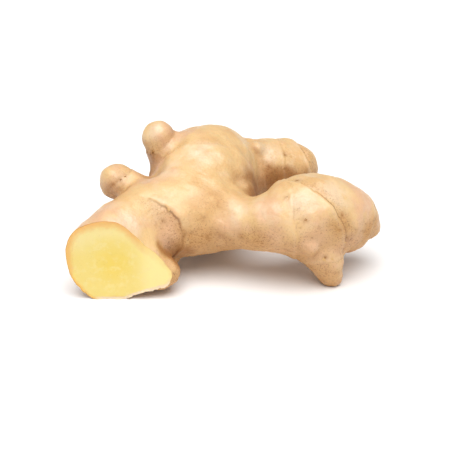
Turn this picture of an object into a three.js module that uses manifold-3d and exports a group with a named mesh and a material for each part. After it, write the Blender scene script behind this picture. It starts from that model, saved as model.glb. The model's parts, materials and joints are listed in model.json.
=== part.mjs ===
// Ginger rhizome, cut across at one finger. Millimetres, +Z up.
// It lies on z = 0 on three low points: the cut finger, the leg and the back toe.
// X runs along the rhizome, the cut face looks towards -Y.
// The body is a set of lobes. Each lobe is a row of balls along a smooth spine, and
// neighbouring lobes run into each other with a rounded web, as they do when they grow.

import * as THREE from 'three';
import { mergeVertices } from 'three/addons/utils/BufferGeometryUtils.js';
import Module from 'manifold-3d';

// Driving dimensions
const CELL = 2.7;                 // spacing of the skin's mesh
const STATION = 2.0;              // spacing of the balls along a spine
const MARGIN = 6;                 // clear space kept round the body while it is meshed
const RING_HEIGHT = 1.3;          // how far a growth ring's edge stands out
const RING_SWELL = 7.0;           // length over which the skin swells up to a ring
const RING_STEP = 2.2;            // length over which it steps in past the ring
const RING_WAVER = 0.5;           // how far a ring line wanders along its finger
const LUMP_HEIGHT = 0.8;          // slow unevenness of the whole body
const DIMPLE_HEIGHT = 0.35;       // finer unevenness

// Cut face: a flat slice across the finger that reaches towards -Y
const CUT_POINT = new THREE.Vector3(-49, -30, 18);
const CUT_NORMAL = new THREE.Vector3(-0.02, -1, 0.06).normalize();

// Each spine station is x, y, z and the radius there. blend is the width of the web to the
// lobes before it, and flat narrows the lobe across its length.
const LOBES = [
  {
    name: 'mother', blend: 1,
    spine: [[-6, 40, 27, 20], [-8, 29, 30, 25.3], [-11, 12, 28, 22], [-15, -2, 26, 18.5]],
  },
  {
    name: 'shoulder', blend: 6,
    spine: [[-2, 12, 29, 13], [5.5, 7.5, 29, 10.5]],
  },
  {
    name: 'cut finger', blend: 8, flat: { across: [0.76, -0.47, 0.44], by: 0.77 },
    spine: [[-15, 4, 27, 18.3], [-33.5, -9, 25, 17.4], [-49, -28.5, 17.3, 19], [-56, -46, 15, 17.5]],
  },
  {
    name: 'side nub', blend: 6,
    spine: [[-44, -21.5, 13.5, 13.5], [-34, -27, 13.2, 10.2], [-26.5, -25.3, 10.5, 7.8]],
  },
  {
    name: 'low nub', blend: 7,
    spine: [[-27, 5, 26, 9], [-38, 8, 33, 7.9], [-47.5, 9, 37.8, 7.7]],
  },
  {
    name: 'high nub', blend: 5,
    spine: [[-21, 26, 42, 9], [-27, 25, 48.5, 8], [-28.9, 25, 52.4, 7.5]],
  },
  {
    name: 'front finger', blend: 9,
    spine: [[-4, 0, 26, 14], [10.5, -10.6, 26.5, 11.6], [24, -13, 29.5, 14.5], [37, -10, 29.8, 18],
      [49, -5, 26.8, 16.5], [58.5, 0, 23.6, 11], [63.5, 2, 19.5, 7]],
  },
  {
    name: 'leg', blend: 6,
    spine: [[40, -14, 19, 10], [45, -17, 11, 7.4], [47, -17.5, 5, 5.8]],
  },
  {
    name: 'back finger', blend: 6,
    spine: [[-2, 36, 29, 15], [15, 42, 29, 15], [26, 45, 29, 13.8], [34, 47, 28.5, 11.3]],
  },
  {
    name: 'back toe', blend: 8,
    spine: [[-12, 34, 20, 12], [-20, 42, 13, 10], [-26, 47, 8, 8.7]],
  },
];

// Growth rings: middle, direction in which the finger grows on, reach and strength. A ring
// runs round the skin where it crosses the plane through its middle, out to its reach.
const RINGS = [
  { middle: [-30.6, -13.1, 23.8], onward: [-0.42, -0.9, -0.05], reach: 22, strength: 0.9 },
  { middle: [37.6, -12.2, 26.1], onward: [0.6, 0.75, 0.25], reach: 26, strength: 0.7 },
  { middle: [35.3, 48.5, 29], onward: [0.85, 0.5, 0.05], reach: 22, strength: 1 },
  { middle: [14.4, 42.8, 29], onward: [0.95, 0.3, 0], reach: 22, strength: 0.3 },
  { middle: [-28, 24.9, 50.3], onward: [-0.5, -0.1, 0.85], reach: 11, strength: 0.6 },
  { middle: [-44, 8.5, 39.5], onward: [-0.64, 0.1, 0.76], reach: 12, strength: 0.6 },
  { middle: [60, 0, 22.6], onward: [0.85, 0.35, -0.35], reach: 15, strength: 0.9 },
  { middle: [29, -13, 29], onward: [0.95, 0.1, 0.1], reach: 21, strength: 0.4 },
  { middle: [45, -17, 13.5], onward: [0.2, -0.1, -0.97], reach: 12, strength: 0.7 },
  { middle: [-21, 43, 12.5], onward: [-0.5, 0.5, -0.7], reach: 14, strength: 0.8 },
  { middle: [-6, 44, 28], onward: [-0.2, 0.9, 0.25], reach: 28, strength: 0.8 },
  { middle: [-9, 18, 28], onward: [-0.1, 1, 0.1], reach: 30, strength: 0.3 },
  { middle: [25, 45, 29], onward: [0.95, 0.3, 0], reach: 19, strength: 0.4 },
];

// Buds: small knobs that sit in the angle above a ring, as x, y, z and radius
const BUD_BLEND = 3;
const BUDS = [
  [37, -24.6, 22.5, 4.4],
  [15.5, 36.5, 41.5, 4.0],
  [-24, -8, 8.5, 5.0],
  [8, 57, 24, 5.5],
  [55, 5, 34, 4.2],
  [-33, 14, 19, 4.6],
  [20, -3, 19.5, 4.2],
  [-41, -4, 13, 4.2],
];

// Returns the balls of one lobe.
function stations(lobe) {
  const curve = new THREE.CatmullRomCurve3(lobe.spine.map(([x, y, z]) => new THREE.Vector3(x, y, z)));
  const girth = new THREE.SplineCurve(lobe.spine.map(([, , , radius], i) => new THREE.Vector2(i, radius)));
  const count = Math.max(4, Math.round(curve.getLength() / STATION));
  const balls = [];
  for (let i = 0; i <= count; i += 1) {
    const t = curve.getUtoTmapping(i / count);
    const radius = girth.getPoint(t).y;
    balls.push({ centre: curve.getPoint(t), radius });
  }
  return balls;
}

// Stretches space across a flat lobe, so that its round section comes out oval.
function stretchAcross(flat) {
  const across = new THREE.Vector3(...flat.across).normalize();
  return (point) => point.clone().addScaledVector(across, (1 / flat.by - 1) * point.dot(across));
}

const lobes = LOBES.map((lobe) => {
  const stretch = lobe.flat ? stretchAcross(lobe.flat) : null;
  const balls = stations(lobe);
  for (const ball of balls) {
    if (stretch) ball.centre = stretch(ball.centre);
  }
  return { ...lobe, stretch, balls };
});

// Distance from a point to one lobe.
const segment = new THREE.Vector3();
const offset = new THREE.Vector3();
function lobeDistance(lobe, point) {
  const p = lobe.stretch ? lobe.stretch(point) : point;
  let distance = Infinity;
  for (let i = 1; i < lobe.balls.length; i += 1) {
    const a = lobe.balls[i - 1];
    const b = lobe.balls[i];
    segment.subVectors(b.centre, a.centre);
    offset.subVectors(p, a.centre);
    const t = THREE.MathUtils.clamp(offset.dot(segment) / segment.lengthSq(), 0, 1);
    const d = offset.addScaledVector(segment, -t).length() - THREE.MathUtils.lerp(a.radius, b.radius, t);
    distance = Math.min(distance, d);
  }
  return distance;
}

// Smallest of two distances, rounded where they meet within the width k.
function smoothMin(a, b, k) {
  const h = Math.max(k - Math.abs(a - b), 0) / k;
  return Math.min(a, b) - (h * h * h * k) / 6;
}

function unevenness({ x, y, z }) {
  const lump = Math.sin(0.21 * x + 1.3) * Math.sin(0.19 * y + 0.4) * Math.sin(0.23 * z + 2.1);
  const dimple = Math.sin(0.43 * x + 0.11 * y + 0.7) * Math.sin(0.47 * y - 0.13 * z + 1.9)
    * Math.sin(0.41 * z + 0.09 * x + 0.2);
  return LUMP_HEIGHT * lump + DIMPLE_HEIGHT * dimple;
}

// Distance from a point to the smooth body, negative inside.
const budCentre = new THREE.Vector3();
function bodyDistance(point) {
  let distance = Infinity;
  for (const lobe of lobes) {
    const reach = lobeDistance(lobe, point);
    distance = distance === Infinity ? reach : smoothMin(distance, reach, lobe.blend);
  }
  for (const [x, y, z, radius] of BUDS) {
    distance = smoothMin(distance, budCentre.set(x, y, z).distanceTo(point) - radius, BUD_BLEND);
  }
  return distance - unevenness(point);
}

function bodyNormal(point) {
  const step = 0.3;
  const normal = new THREE.Vector3();
  for (const axis of ['x', 'y', 'z']) {
    const ahead = point.clone();
    const behind = point.clone();
    ahead[axis] += step;
    behind[axis] -= step;
    normal[axis] = (bodyDistance(ahead) - bodyDistance(behind)) / (2 * step);
  }
  return normal;
}

// Moves a point onto the smooth body.
function settle(point) {
  for (let pass = 0; pass < 3; pass += 1) {
    const slope = bodyNormal(point);
    const shift = THREE.MathUtils.clamp(bodyDistance(point) / slope.lengthSq(), -CELL / 2, CELL / 2);
    point.addScaledVector(slope, -shift);
  }
}

// Height of the skin near a growth ring: it swells up to the ring, then steps in.
function ringHeight(past) {
  const swell = Math.exp(-((Math.min(past, 0) / RING_SWELL) ** 2));
  const step = 1 - THREE.MathUtils.smoothstep(past, 0, RING_STEP);
  const groove = Math.exp(-(((past - RING_STEP) / RING_STEP) ** 2));
  return RING_HEIGHT * (swell * step - 0.5 * groove);
}

// Raises the skin at the growth rings.
function addRings(point) {
  const waver = Math.sin(0.31 * point.x + 0.22 * point.y) + 0.7 * Math.sin(0.37 * point.z + 1.1);
  let height = 0;
  for (const { middle, onward, reach, strength } of RINGS) {
    const away = point.clone().sub(new THREE.Vector3(...middle));
    const past = away.dot(new THREE.Vector3(...onward).normalize()) + RING_WAVER * waver;
    const fade = 1 - THREE.MathUtils.smoothstep(away.length(), 0.8 * reach, reach);
    height += strength * fade * ringHeight(past);
  }
  point.addScaledVector(bodyNormal(point).normalize(), height);
}

// Box round all the balls, in whole cells.
function meshedSpace() {
  const box = new THREE.Box3();
  for (const { spine } of LOBES) {
    for (const [x, y, z, radius] of spine) {
      const reach = new THREE.Vector3(1, 1, 1).multiplyScalar(radius + MARGIN);
      const centre = new THREE.Vector3(x, y, z);
      box.expandByPoint(centre.clone().add(reach));
      box.expandByPoint(centre.clone().sub(reach));
    }
  }
  return box;
}

// Grid corners that all but touch the surface would make slivers, so each is moved clear of
// it, to the side on which most of its neighbours lie. A grid square whose corners alternate
// between inside and outside would pinch the skin, so its nearest corner changes sides.
const CLEARANCE = 0.12 * CELL;
function tidyGrid(depth, strides) {
  for (let n = strides[2]; n < depth.length - strides[2]; n += 1) {
    if (Math.abs(depth[n]) < CLEARANCE) {
      const around = strides.flatMap((stride) => [depth[n - stride], depth[n + stride]]);
      const inside = [depth[n], ...around].filter((value) => value < 0).length;
      depth[n] = inside > 3 ? -CLEARANCE : CLEARANCE;
    }
  }
  const [alongX, alongY, alongZ] = strides;
  for (let n = 0; n < depth.length - alongX - alongY - alongZ; n += 1) {
    for (const [a, b] of [[alongX, alongY], [alongY, alongZ], [alongZ, alongX]]) {
      const square = [n, n + a, n + a + b, n + b];
      const [s0, s1, s2, s3] = square.map((corner) => depth[corner] < 0);
      if (s0 === s2 && s1 === s3 && s0 !== s1) {
        const nearest = square.sort((p, q) => Math.abs(depth[p]) - Math.abs(depth[q]))[0];
        depth[nearest] = depth[nearest] < 0 ? CLEARANCE : -CLEARANCE;
      }
    }
  }
}

// Skins the body with a net of four-sided cells: one corner in each grid cell that the
// surface crosses, and one face across each grid edge that it crosses.
function skinBody() {
  const box = meshedSpace();
  const [nx, ny, nz] = box.getSize(new THREE.Vector3()).toArray().map((side) => Math.ceil(side / CELL) + 1);
  const at = (i, j, k) => (k * ny + j) * nx + i;
  const place = (i, j, k) => new THREE.Vector3(i, j, k).multiplyScalar(CELL).add(box.min);
  const depth = new Float32Array(nx * ny * nz);
  for (let k = 0; k < nz; k += 1) {
    for (let j = 0; j < ny; j += 1) {
      for (let i = 0; i < nx; i += 1) depth[at(i, j, k)] = bodyDistance(place(i, j, k));
    }
  }
  tidyGrid(depth, [1, nx, nx * ny]);

  const corners = [];
  for (let n = 0; n < 8; n += 1) corners.push([n & 1, (n >> 1) & 1, n >> 2]);
  const points = [];
  const pointOfCell = new Map();
  for (let k = 0; k < nz - 1; k += 1) {
    for (let j = 0; j < ny - 1; j += 1) {
      for (let i = 0; i < nx - 1; i += 1) {
        const crossing = new THREE.Vector3();
        let crossings = 0;
        for (let a = 0; a < 8; a += 1) {
          for (let axis = 1; axis < 8; axis *= 2) {
            const b = a | axis;
            const from = corners[a];
            const to = corners[b];
            const start = depth[at(i + from[0], j + from[1], k + from[2])];
            const end = depth[at(i + to[0], j + to[1], k + to[2])];
            if (b !== a && start < 0 !== end < 0) {
              const t = start / (start - end);
              crossing.add(place(...from.map((v, m) => [i, j, k][m] + v + t * (to[m] - v))));
              crossings += 1;
            }
          }
        }
        if (crossings > 0) {
          const point = crossing.divideScalar(crossings);
          settle(point);
          pointOfCell.set(at(i, j, k), points.length);
          points.push(point);
        }
      }
    }
  }
  for (const point of points) addRings(point);

  const triangles = [];
  const face = (ring, outward) => {
    const [a, b, c, d] = (outward ? ring : [...ring].reverse()).map((cell) => pointOfCell.get(cell));
    const shortAcross = points[a].distanceTo(points[c]) < points[b].distanceTo(points[d]);
    triangles.push(...(shortAcross ? [a, b, c, a, c, d] : [a, b, d, b, c, d]));
  };
  for (let k = 1; k < nz - 1; k += 1) {
    for (let j = 1; j < ny - 1; j += 1) {
      for (let i = 1; i < nx - 1; i += 1) {
        const inside = depth[at(i, j, k)] < 0;
        if (inside !== depth[at(i + 1, j, k)] < 0) {
          face([at(i, j - 1, k - 1), at(i, j, k - 1), at(i, j, k), at(i, j - 1, k)], inside);
        }
        if (inside !== depth[at(i, j + 1, k)] < 0) {
          face([at(i - 1, j, k - 1), at(i - 1, j, k), at(i, j, k), at(i, j, k - 1)], inside);
        }
        if (inside !== depth[at(i, j, k + 1)] < 0) {
          face([at(i - 1, j - 1, k), at(i, j - 1, k), at(i, j, k), at(i - 1, j, k)], inside);
        }
      }
    }
  }
  const geometry = new THREE.BufferGeometry();
  geometry.setAttribute('position', new THREE.Float32BufferAttribute(points.flatMap((p) => p.toArray()), 3));
  geometry.setIndex(triangles);
  return geometry;
}

const wasm = await Module();
wasm.setup();

function toSolid(geometry) {
  const bare = geometry.clone();
  bare.deleteAttribute('normal');
  bare.deleteAttribute('uv');
  const merged = mergeVertices(bare);
  const mesh = new wasm.Mesh({
    numProp: 3,
    vertProperties: new Float32Array(merged.attributes.position.array),
    triVerts: new Uint32Array(merged.index.array),
  });
  return new wasm.Manifold(mesh);
}

function toGeometry(solid) {
  const mesh = solid.getMesh();
  const geometry = new THREE.BufferGeometry();
  geometry.setAttribute('position', new THREE.Float32BufferAttribute(mesh.vertProperties, 3));
  geometry.setIndex(new THREE.BufferAttribute(new Uint32Array(mesh.triVerts), 1));
  return geometry;
}

// A block that removes everything past a plane through a point.
const BLOCK = 300;
function beyond(point, normal) {
  const block = new THREE.BoxGeometry(BLOCK, BLOCK, BLOCK);
  const turn = new THREE.Quaternion().setFromUnitVectors(new THREE.Vector3(0, 0, 1), normal);
  block.applyQuaternion(turn);
  const middle = point.clone().addScaledVector(normal, BLOCK / 2);
  block.translate(middle.x, middle.y, middle.z);
  return toSolid(block);
}

const floor = beyond(new THREE.Vector3(0, 0, 0), new THREE.Vector3(0, 0, -1));
const slice = beyond(CUT_POINT, CUT_NORMAL);
const rhizomeGeometry = toGeometry(toSolid(skinBody()).subtract(slice).subtract(floor));

// The middle of the footprint is the origin.
rhizomeGeometry.computeBoundingBox();
const middle = rhizomeGeometry.boundingBox.getCenter(new THREE.Vector3());
rhizomeGeometry.translate(-middle.x, -middle.y, 0);
rhizomeGeometry.computeVertexNormals();

const skin = new THREE.MeshStandardMaterial({ color: 0xe6c08c, roughness: 0.62, metalness: 0 });
const rhizome = new THREE.Mesh(rhizomeGeometry, skin);
rhizome.name = 'rhizome';

const ginger = new THREE.Group();
ginger.add(rhizome);

export default ginger;
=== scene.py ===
# %% [markdown]
# # A ginger root, finished in Blender
# A ginger rhizome is a fat underground stem. It grows in fingers, each finger in short
# lengths that end in a ring, and its skin is thin, dry and faintly glossy. One finger has
# been cut across, so the wet yellow flesh shows there. The solid model gives the root its
# place and size. This script builds the fine skin and the cut face over it.

# %% Load the solid model
import json
import math
import bmesh
import bpy
import numpy as np
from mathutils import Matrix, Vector, geometry
from mathutils.kdtree import KDTree

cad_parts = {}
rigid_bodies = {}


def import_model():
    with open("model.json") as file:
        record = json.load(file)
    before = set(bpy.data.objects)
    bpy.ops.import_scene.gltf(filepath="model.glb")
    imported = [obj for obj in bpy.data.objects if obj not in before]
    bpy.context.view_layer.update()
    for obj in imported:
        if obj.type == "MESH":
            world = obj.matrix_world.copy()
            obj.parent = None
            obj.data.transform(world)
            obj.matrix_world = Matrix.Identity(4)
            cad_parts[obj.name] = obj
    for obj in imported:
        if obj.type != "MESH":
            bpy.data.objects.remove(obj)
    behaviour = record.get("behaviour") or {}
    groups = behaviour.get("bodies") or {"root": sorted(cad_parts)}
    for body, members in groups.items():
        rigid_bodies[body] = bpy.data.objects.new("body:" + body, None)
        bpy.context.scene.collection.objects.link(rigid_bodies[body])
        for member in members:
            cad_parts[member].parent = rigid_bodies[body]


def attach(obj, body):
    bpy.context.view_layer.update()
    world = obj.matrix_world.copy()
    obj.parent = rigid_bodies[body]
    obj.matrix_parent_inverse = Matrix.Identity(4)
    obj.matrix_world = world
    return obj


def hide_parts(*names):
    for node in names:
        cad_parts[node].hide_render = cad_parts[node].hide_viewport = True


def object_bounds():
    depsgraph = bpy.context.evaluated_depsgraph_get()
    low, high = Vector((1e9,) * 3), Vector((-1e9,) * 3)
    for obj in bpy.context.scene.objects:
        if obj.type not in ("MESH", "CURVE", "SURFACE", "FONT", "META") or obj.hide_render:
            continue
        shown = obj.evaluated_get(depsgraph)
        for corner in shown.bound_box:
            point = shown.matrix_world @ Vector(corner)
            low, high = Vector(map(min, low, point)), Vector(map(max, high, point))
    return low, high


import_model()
cad_box = [list(corner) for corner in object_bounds()]
MM = 0.001
print("solid model, low and high corner in metres:", cad_box)

# %% [markdown]
# ## The lobes
# The root is drawn as lobes. A lobe is a row of balls threaded on a smooth spine, as the
# solid model has them, so the two agree. Each station is x, y, z and the radius there, in
# millimetres. `blend` is how wide the web to the lobes before it is, and `flat` narrows a
# lobe across its length. A growth ring has a middle, the direction in which the finger
# grows on, a reach and a strength: it runs round the skin where it crosses that plane.
# Buds are single balls that swell out of the skin, and the cut is a plane given by a point
# on it and the direction in which the finger was taken off.

# %% The table of lobes
LOBES = [
    dict(name="mother", blend=1,
         spine=[(-6, 40, 27, 20), (-8, 29, 30, 25.3), (-11, 12, 28, 22), (-15, -2, 26, 18.5)]),
    dict(name="shoulder", blend=6, spine=[(-2, 12, 29, 13), (5, 7.5, 28.4, 9.8)]),
    dict(name="cut finger", blend=8, flat=((0.76, -0.47, 0.44), 0.77),
         spine=[(-15, 4, 27, 18.3), (-33.5, -9, 25, 17.4), (-49, -28.5, 17.3, 19), (-56, -46, 15, 17.5)]),
    dict(name="side nub", blend=6,
         spine=[(-44, -21.5, 13.5, 13.5), (-34, -27, 13.2, 10.2), (-26.5, -25.3, 10.5, 7.8)]),
    dict(name="low nub", blend=7,
         spine=[(-27, 5, 26, 9), (-38, 8, 33, 7.9), (-47.5, 9, 37.8, 7.7)]),
    dict(name="high nub", blend=5,
         spine=[(-21, 26, 42, 9), (-27, 25, 48.5, 8), (-28.9, 25, 52.4, 7.5)]),
    dict(name="front finger", blend=9,
         spine=[(-4, 0, 26, 14), (10.5, -10.6, 26.5, 11.6), (24, -13.4, 28.7, 13.8), (37, -10, 29.8, 18),
                (49, -5, 26.8, 16.5), (58.5, 0, 23.6, 11), (63.5, 2, 19.5, 7)]),
    dict(name="leg", blend=6,
         spine=[(40, -14, 19, 10), (45, -17, 11, 7.4), (47, -17.5, 5, 5.8)]),
    dict(name="back finger", blend=6,
         spine=[(-2, 36, 29, 15), (15, 42, 29, 15), (26, 45, 29, 13.8), (34, 47, 28.5, 11.3)]),
    dict(name="back toe", blend=8,
         spine=[(-12, 34, 20, 12), (-20, 42, 13, 10), (-26, 47, 8, 8.7)]),
]
RINGS = [
    ((-30.6, -13.1, 23.8), (-0.42, -0.9, -0.05), 18.5, 0.7),
    ((37.6, -12.2, 26.1), (0.6, 0.75, 0.25), 26, 0.7),
    ((35.3, 48.5, 29), (0.85, 0.5, 0.05), 22, 0.9),
    ((14.4, 42.8, 29), (0.95, 0.3, 0), 22, 0.3),
    ((-28, 24.9, 50.3), (-0.5, -0.1, 0.85), 11, 0.4),
    ((-44, 8.5, 39.5), (-0.64, 0.1, 0.76), 12, 0.4),
    ((60, 0, 22.6), (0.85, 0.35, -0.35), 15, 0.9),
    ((29, -13, 29), (0.95, 0.1, 0.1), 21, 0.4),
    ((45, -17, 13.5), (0.2, -0.1, -0.97), 12, 0.45),
    ((-21, 43, 12.5), (-0.5, 0.5, -0.7), 14, 0.8),
    ((-6, 44, 28), (-0.2, 0.9, 0.25), 28, 0.8),
    ((-9, 18, 28), (-0.1, 1, 0.1), 30, 0.3),
    ((25, 45, 29), (0.95, 0.3, 0), 19, 0.4),
]
BUD_BLEND = 3
BUDS = [(37, -24.6, 22.5, 4.4), (15.5, 36.5, 41.5, 4.0), (-24, -8, 8.5, 5.0), (8, 57, 24, 5.5),
        (55, 5, 34, 4.2), (-33, 14, 19, 4.6), (20, -3, 19.5, 4.2), (-41, -4, 13, 4.2)]
CUT_POINT = np.array([-49.0, -30.0, 18.0])
CUT_NORMAL = np.array([-0.02, -1.0, 0.06]) / math.sqrt(0.02**2 + 1.0 + 0.06**2)
print(len(LOBES), "lobes and", len(BUDS), "buds")

# %% [markdown]
# ## Spines
# A Catmull-Rom curve goes through every station and needs no handles, so a short table is
# enough. The centripetal kind, where a longer gap gets more of the curve's time, makes no
# loops between unevenly spaced stations. The radius follows the same stations.

# %% Smooth spines
STATION = 1.2


def hermite(start, end, leave, arrive, t):
    """A cubic from start to end with given slopes."""
    bend = -3 * start + 3 * end - 2 * leave - arrive
    twist = 2 * start - 2 * end + leave + arrive
    return start + leave * t + bend * t**2 + twist * t**3


def spine_points(stations, per_gap=40):
    """Finely spaced x, y, z, radius rows along a spine."""
    table = np.array(stations, float)
    first = 2 * table[0] - table[1]
    last = 2 * table[-1] - table[-2]
    place = np.vstack([first, table, last])[:, :3]
    girth = np.concatenate([table[:1, 3], table[:, 3], table[-1:, 3]])
    rows = []
    for i in range(1, len(table)):
        before, start, end, after = place[i - 1:i + 3]
        d0, d1, d2 = (np.linalg.norm(b - a)**0.5 for a, b in [(before, start), (start, end), (end, after)])
        leave = ((start - before) / d0 - (end - before) / (d0 + d1) + (end - start) / d1) * d1
        arrive = ((end - start) / d1 - (after - start) / (d1 + d2) + (after - end) / d2) * d1
        g0, g1, g2, g3 = girth[i - 1:i + 3]
        for t in np.arange(per_gap) / per_gap:
            radius = hermite(g1, g2, (g2 - g0) / 2, (g3 - g1) / 2, t)
            rows.append(np.append(hermite(start, end, leave, arrive, t), radius))
    rows.append(table[-1])
    return np.array(rows)


def thread_balls(lobe):
    """Adds evenly spaced ball centres, radii and growing directions to a lobe."""
    fine = spine_points(lobe["spine"])
    walked = np.concatenate([[0], np.cumsum(np.linalg.norm(np.diff(fine[:, :3], axis=0), axis=1))])
    count = max(4, round(walked[-1] / STATION))
    at = np.linspace(0, walked[-1], count + 1)
    balls = np.stack([np.interp(at, walked, fine[:, k]) for k in range(4)], axis=1)
    direction = np.gradient(balls[:, :3], axis=0)
    lobe["direction"] = direction / np.linalg.norm(direction, axis=1, keepdims=True)
    lobe["balls"] = np.vstack([2 * balls[0] - balls[1], balls, 2 * balls[-1] - balls[-2]])
    lobe["gap"] = at[1]
    lobe["stretch"] = np.eye(3)
    if "flat" in lobe:
        across = np.array(lobe["flat"][0], float)
        across /= np.linalg.norm(across)
        lobe["stretch"] += (1 / lobe["flat"][1] - 1) * np.outer(across, across)


for lobe in LOBES:
    thread_balls(lobe)
    print(f"{lobe['name']:13s} {len(lobe['balls']) - 2:3d} balls, {lobe['gap']:.2f} mm apart")

# %% [markdown]
# ## Distance to the body
# Modelling by distance keeps the joints between lobes smooth: a point's distance to two
# lobes is mixed where they are nearly equal, which gives the rounded web of living tissue.
# The nearest ball alone would leave steps, so a parabola through it and its neighbours
# finds the true nearest place between them.

# %% Distance and unevenness
LUMP_HEIGHT = 0.8
DIMPLE_HEIGHT = 0.35


def lobe_distance(lobe, points):
    """Distance to a lobe's skin, and how far along its spine the nearest place is."""
    centres = (lobe["balls"][:, :3] @ lobe["stretch"]).astype(np.float32)
    at = (points @ lobe["stretch"]).astype(np.float32)
    square = (at**2).sum(1)[:, None] - 2 * at @ centres.T + (centres**2).sum(1)[None]
    reach = np.sqrt(np.maximum(square, 0)) - lobe["balls"][:, 3].astype(np.float32)[None]
    nearest = np.argmin(reach[:, 1:-1], axis=1) + 1
    row = np.arange(len(points))
    here, before, after = reach[row, nearest], reach[row, nearest - 1], reach[row, nearest + 1]
    curve = np.maximum(before - 2 * here + after, 1e-5)
    low = np.where(nearest == 1, 0, -0.5)
    high = np.where(nearest == reach.shape[1] - 2, 0, 0.5)
    shift = np.clip((before - after) / (2 * curve), low, high)
    distance = here + shift * (after - before) / 2 + shift**2 * curve / 2
    return distance, (nearest - 1 + shift) * lobe["gap"]


def smooth_min(a, b, width):
    """The smaller of two distances, rounded where they meet."""
    near = np.maximum(width - np.abs(a - b), 0) / width
    return np.minimum(a, b) - near**3 * width / 6


def unevenness(points):
    """Slow lumps and finer dimples, in millimetres."""
    x, y, z = points.T
    lump = np.sin(0.21 * x + 1.3) * np.sin(0.19 * y + 0.4) * np.sin(0.23 * z + 2.1)
    dimple = (np.sin(0.43 * x + 0.11 * y + 0.7) * np.sin(0.47 * y - 0.13 * z + 1.9)
              * np.sin(0.41 * z + 0.09 * x + 0.2))
    return LUMP_HEIGHT * lump + DIMPLE_HEIGHT * dimple


def body_distance(points):
    """Distance from each point to the smooth body, negative inside."""
    total = None
    for lobe in LOBES:
        reach = lobe_distance(lobe, points)[0]
        total = reach if total is None else smooth_min(total, reach, lobe["blend"])
    for x, y, z, radius in BUDS:
        total = smooth_min(total, np.linalg.norm(points - [x, y, z], axis=1) - radius, BUD_BLEND)
    return total - unevenness(points)


def body_slope(points, step=0.25):
    """Slope of the distance, which points straight out of the skin."""
    shifts = np.eye(3) * step
    sides = [body_distance(points + s) - body_distance(points - s) for s in shifts]
    return np.stack(sides, axis=1) / (2 * step)


def settle(points, passes, most):
    """Moves points onto the smooth body."""
    for _ in range(passes):
        slope = body_slope(points)
        shift = body_distance(points) / np.maximum((slope**2).sum(1), 0.05)
        points = points - slope * np.clip(shift, -most, most)[:, None]
    return points


# %% [markdown]
# ## An even skin
# The skin needs small faces of one size, because rings and wrinkles are carved into it. The
# balls are joined by a voxel remesh, which gives exactly that, and each point then slides
# onto the smooth body. Doing it twice evens out the faces that the webs had stretched.

# %% Skin the body
FINE = 0.64
FIRST_DRAFT = 1.3
cell = FINE


def remeshed(points, faces, voxel):
    """An even mesh over a closed one, as arrays of points and faces."""
    mesh = bpy.data.meshes.new("skin_draft")
    mesh.from_pydata(points, [], faces)
    draft = bpy.data.objects.new("skin_draft", mesh)
    bpy.context.scene.collection.objects.link(draft)
    remesh = draft.modifiers.new("Even faces", "REMESH")
    remesh.mode = "VOXEL"
    remesh.voxel_size = voxel
    even = bpy.data.meshes.new_from_object(draft.evaluated_get(bpy.context.evaluated_depsgraph_get()))
    found = np.empty(len(even.vertices) * 3)
    even.vertices.foreach_get("co", found)
    around = [tuple(face.vertices) for face in even.polygons]
    bpy.data.objects.remove(draft)
    bpy.data.meshes.remove(mesh)
    bpy.data.meshes.remove(even)
    return found.reshape(-1, 3), around


def ball_cloud():
    """One icosphere for each ball, all in one list of points and faces."""
    unit = bmesh.new()
    bmesh.ops.create_icosphere(unit, subdivisions=3, radius=1)
    sphere = np.array([v.co[:] for v in unit.verts])
    round_faces = np.array([[v.index for v in f.verts] for f in unit.faces])
    unit.free()
    points, faces = [], []
    for lobe in LOBES:
        shrink = np.linalg.inv(lobe["stretch"])
        for x, y, z, radius in lobe["balls"][1:-1:2]:
            faces.append(round_faces + len(points) * len(sphere))
            points.append(sphere @ shrink * radius + [x, y, z])
    for x, y, z, radius in BUDS:
        faces.append(round_faces + len(points) * len(sphere))
        points.append(sphere * radius + [x, y, z])
    return np.vstack(points), np.vstack(faces).tolist()


points, faces = remeshed(*ball_cloud(), FIRST_DRAFT)
points = settle(points, 3, 2.0)
points, faces = remeshed(points, faces, cell)
points = settle(points, 2, 1.0)
print("skin:", len(points), "points,", len(faces), "faces")

# %% [markdown]
# ## Which finger, and how far along it
# Rings and wrinkles belong to a finger: rings run round it and wrinkles along it. So each
# point learns which lobe it lies on, its distance along that lobe, its direction round it,
# and how clearly that lobe leads, because a ring fades out where two lobes melt together.

# %% Measure the skin along its fingers


def smoothstep(value, low, high):
    """0 below low, 1 above high, smooth between."""
    t = np.clip((value - low) / (high - low), 0, 1)
    return t * t * (3 - 2 * t)


def finger_chart(points):
    """The leading lobe, distance along it, direction round it and how clearly it leads."""
    measured = [lobe_distance(lobe, points) for lobe in LOBES]
    reach = np.stack([m[0] for m in measured], axis=1)
    along = np.stack([m[1] for m in measured], axis=1)
    order = np.argsort(reach, axis=1)
    row = np.arange(len(points))
    lead = order[:, 0]
    clear = smoothstep(reach[row, order[:, 1]] - reach[row, lead], 0.5, 4)
    along = along[row, lead]
    centre = np.zeros_like(points)
    direction = np.zeros_like(points)
    for i, lobe in enumerate(LOBES):
        own = lead == i
        balls = lobe["balls"][1:-1]
        at = np.clip(along[own] / lobe["gap"], 0, len(balls) - 1)
        low = np.minimum(at.astype(int), len(balls) - 2)
        part = (at - low)[:, None]
        centre[own] = balls[low, :3] * (1 - part) + balls[low + 1, :3] * part
        direction[own] = lobe["direction"][low]
    outward = points - centre
    outward /= np.maximum(np.linalg.norm(outward, axis=1, keepdims=True), 1e-6)
    return lead, along, outward, direction, clear


lead, along, outward, direction, clear = finger_chart(points)
print("points on each lobe:", np.bincount(lead).tolist())

# %% [markdown]
# ## Noise with a seed
# Living skin is uneven at every size. This is gradient noise, written out so that the same
# lattice of random slopes comes back on every run.

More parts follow.
